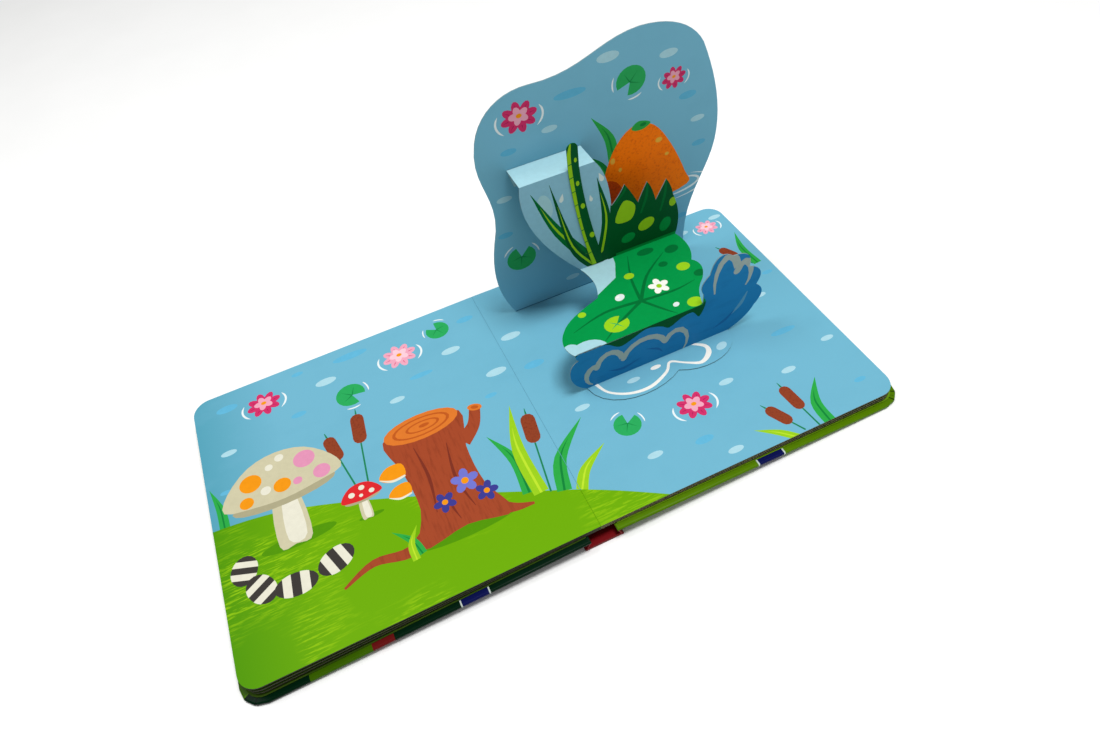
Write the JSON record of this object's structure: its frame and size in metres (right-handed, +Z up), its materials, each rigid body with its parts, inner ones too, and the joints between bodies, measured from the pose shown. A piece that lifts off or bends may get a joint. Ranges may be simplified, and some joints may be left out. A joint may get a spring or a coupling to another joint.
{
  "type": "pop up book",
  "caption": "Open square picture book lying flat, with a standing die-cut flap and a stepped card pop-up on its right-hand page.",
  "frame": {"origin": "on the table, under the middle of the gutter", "axes": "+X across the open book to the right, +Y from the foot of the pages to their head, +Z up"},
  "size_m": [0.4015, 0.2078, 0.1817],
  "materials": {
    "front_cover_wrap": "printed paper on board, gloss laminated",
    "back_cover_wrap": "printed paper on board, gloss laminated",
    "spine_wrap": "printed paper on board, gloss laminated",
    "endpaper": "printed, smooth matt",
    "page_card": "printed card, smooth satin",
    "popup_card": "printed card, smooth satin"
  },
  "bodies": {
    "spine_strip": {"spine": "spine_wrap"},
    "front_half": {"front_cover": "front_cover_wrap", "front_endpaper": "endpaper", "left_pages": "page_card"},
    "back_half": {"back_cover": "back_cover_wrap", "back_endpaper": "endpaper", "right_pages": "page_card", "popup_flap": "popup_card", "popup_steps": "popup_card", "popup_reed": "popup_card"}
  },
  "joints": [
    {"name": "front_cover_hinge", "type": "hinge", "parent": "spine_strip", "child": "front_half", "pos_m": [0, 0, 0.013], "axis": [0, 1, 0], "range_deg": [0, 45]},
    {"name": "back_cover_hinge", "type": "hinge", "parent": "spine_strip", "child": "back_half", "pos_m": [0, 0, 0.013], "axis": [0, -1, 0], "range_deg": [0, 45]}
  ]
}
